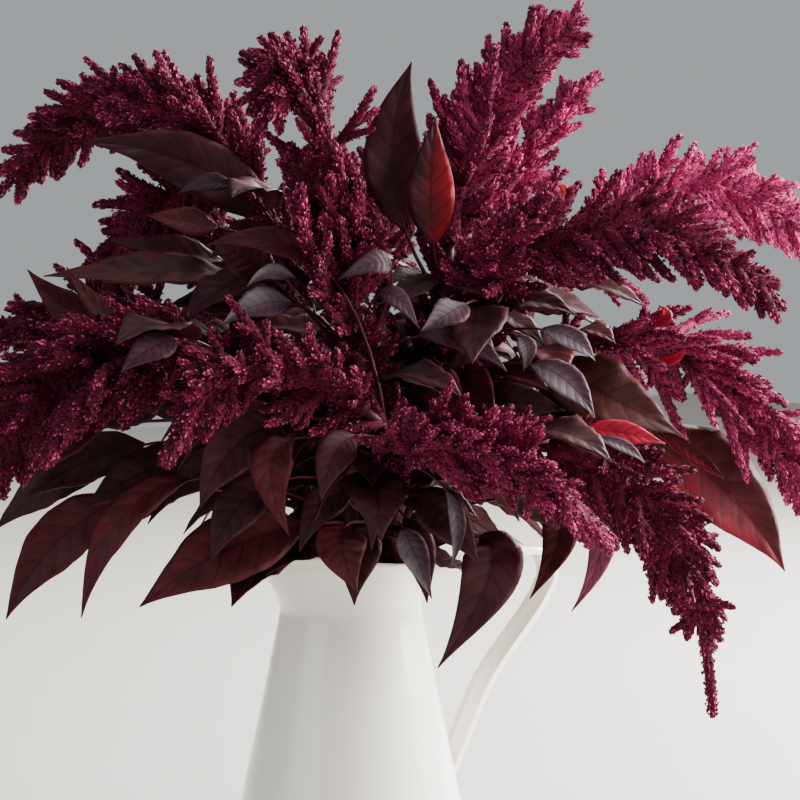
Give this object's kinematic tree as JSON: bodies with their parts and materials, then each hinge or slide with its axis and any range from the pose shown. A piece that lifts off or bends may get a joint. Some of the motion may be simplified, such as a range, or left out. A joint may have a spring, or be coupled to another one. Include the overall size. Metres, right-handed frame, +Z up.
{
  "type": "bouquet of cut amaranth in a white pitcher vase",
  "caption": "White enamelled pitcher with a spout and a strap handle, holding leafy cut stems of dark red amaranth with arching plumes and drooping tails.",
  "frame": {"origin": "middle of the pitcher's flat bottom", "axes": "+Z up, +X towards the handle, the spout on -X"},
  "size_m": [0.5706, 0.5165, 0.5955],
  "materials": {
    "enamel": "glossy off-white enamel",
    "water": "clear water",
    "foliage": "satin, dark burgundy leaves and stems",
    "florets": "matt, grainy crimson florets"
  },
  "bodies": {
    "root": {"pitcher_body": "enamel", "pitcher_handle": "enamel", "water": "water", "stem_back_left": "foliage", "head_back_left": "florets", "stem_top_left": "foliage", "head_top_left": "florets", "stem_top_right": "foliage", "head_top_right": "florets", "stem_top_back": "foliage", "head_top_back": "florets", "stem_crown_back": "foliage", "head_crown_back": "florets", "stem_left_low": "foliage", "head_left_low": "florets", "stem_front_left": "foliage", "head_front_left": "florets", "stem_front_low": "foliage", "head_front_low": "florets", "stem_right_droop": "foliage", "head_right_droop": "florets", "stem_right_mid": "foliage", "head_right_mid": "florets", "stem_right_low": "foliage", "head_right_low": "florets", "stem_right_back": "foliage", "head_right_back": "florets", "stem_back_right": "foliage", "head_back_right": "florets", "stem_back_low": "foliage", "head_back_low": "florets", "stem_back_left_low": "foliage", "head_back_left_low": "florets", "stem_left_back": "foliage", "head_left_back": "florets", "stem_left_mid": "foliage", "head_left_mid": "florets"}
  },
  "joints": []
}
